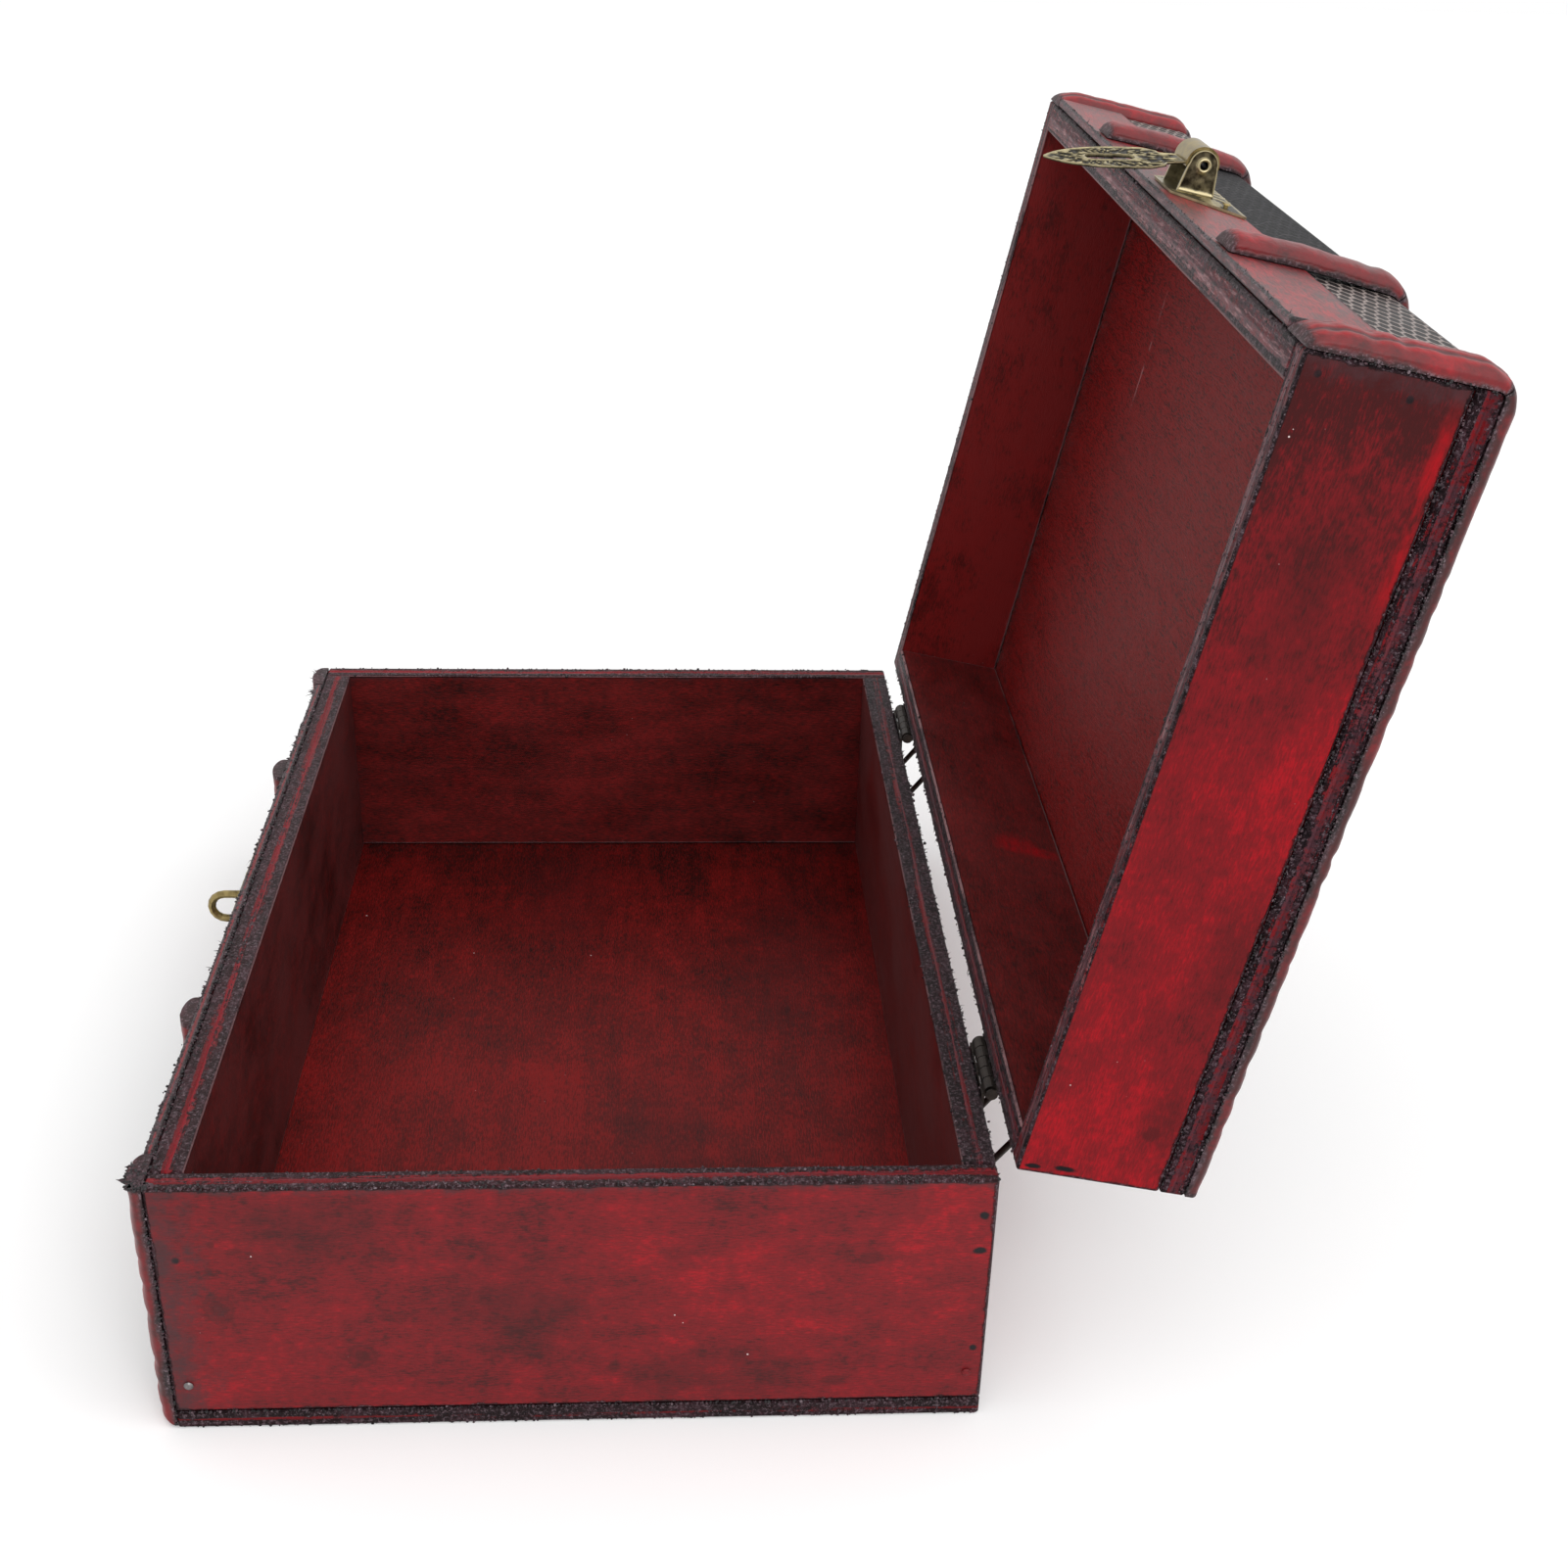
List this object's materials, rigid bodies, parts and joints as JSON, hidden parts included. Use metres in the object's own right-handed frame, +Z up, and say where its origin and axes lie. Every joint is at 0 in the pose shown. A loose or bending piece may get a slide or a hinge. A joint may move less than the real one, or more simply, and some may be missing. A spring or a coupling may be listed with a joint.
{
  "type": "jewelry chest",
  "caption": "Flat wooden trinket chest with a hinged lid, half-round wooden straps, leather panels, a swinging hasp and a padlock staple.",
  "frame": {"origin": "centre of the underside of the base's bottom panel", "axes": "+X to the right along the length, +Y from the front to the hinged back, +Z up; the hasp is on the -Y side"},
  "size_m": [0.3016, 0.3059, 0.2861],
  "materials": {
    "red_wood": "crimson stained plywood, worn dark edges, thin varnish",
    "embossed_leather": "dark embossed leather",
    "antique_brass": "antique brass, dark recesses",
    "dark_bronze": "dark bronze, satin",
    "nail_steel": "dull steel"
  },
  "bodies": {
    "base": {"base_back_wall": "red_wood", "base_bottom_panel": "red_wood", "base_end_left": "red_wood", "base_end_nail_left_back": "nail_steel", "base_end_nail_left_front": "nail_steel", "base_end_nail_right_back": "nail_steel", "base_end_nail_right_front": "nail_steel", "base_end_right": "red_wood", "base_end_trim_left": "red_wood", "base_end_trim_right": "red_wood", "base_front_band": "red_wood", "base_front_leather": "embossed_leather", "base_front_wall": "red_wood", "base_strap_left": "red_wood", "base_strap_right": "red_wood", "hinge_base_leaf_left": "dark_bronze", "hinge_base_leaf_right": "dark_bronze", "hinge_base_nail_left_a": "dark_bronze", "hinge_base_nail_left_b": "dark_bronze", "hinge_base_nail_right_a": "dark_bronze", "hinge_base_nail_right_b": "dark_bronze", "hinge_pin_left": "dark_bronze", "hinge_pin_right": "dark_bronze", "lid_stop_wire_left": "dark_bronze", "lid_stop_wire_right": "dark_bronze", "staple_loop": "antique_brass", "staple_nail_left": "antique_brass", "staple_nail_right": "antique_brass", "staple_plate": "antique_brass"},
    "lid": {"lid_back_wall": "red_wood", "lid_end_left": "red_wood", "lid_end_right": "red_wood", "lid_front_band": "red_wood", "lid_front_end_trim_left": "red_wood", "lid_front_end_trim_right": "red_wood", "lid_front_strap_left": "red_wood", "lid_front_strap_right": "red_wood", "lid_front_wall": "red_wood", "lid_leather_cover": "embossed_leather", "lid_top_end_trim_left": "red_wood", "lid_top_end_trim_right": "red_wood", "lid_top_panel": "red_wood", "lid_top_strap_left": "red_wood", "lid_top_strap_right": "red_wood", "hinge_lid_leaf_left": "dark_bronze", "hinge_lid_leaf_right": "dark_bronze", "hinge_lid_nail_left_a": "dark_bronze", "hinge_lid_nail_left_b": "dark_bronze", "hinge_lid_nail_right_a": "dark_bronze", "hinge_lid_nail_right_b": "dark_bronze", "hasp_nail_left": "antique_brass", "hasp_nail_right": "antique_brass", "hasp_plate": "antique_brass", "hasp_rivet": "antique_brass"},
    "tongue": {"hasp_tongue": "antique_brass"}
  },
  "joints": [
    {"name": "lid_hinge", "type": "hinge", "parent": "base", "child": "lid", "pos_m": [0, 0.1028, 0.0742], "axis": [-1, 0, 0], "range_deg": [-101.7, 0]},
    {"name": "hasp_tongue_pivot", "type": "hinge", "parent": "lid", "child": "tongue", "pos_m": [0, 0.1562, 0.28127], "axis": [-1, 0, 0], "range_deg": [0, 180]}
  ]
}
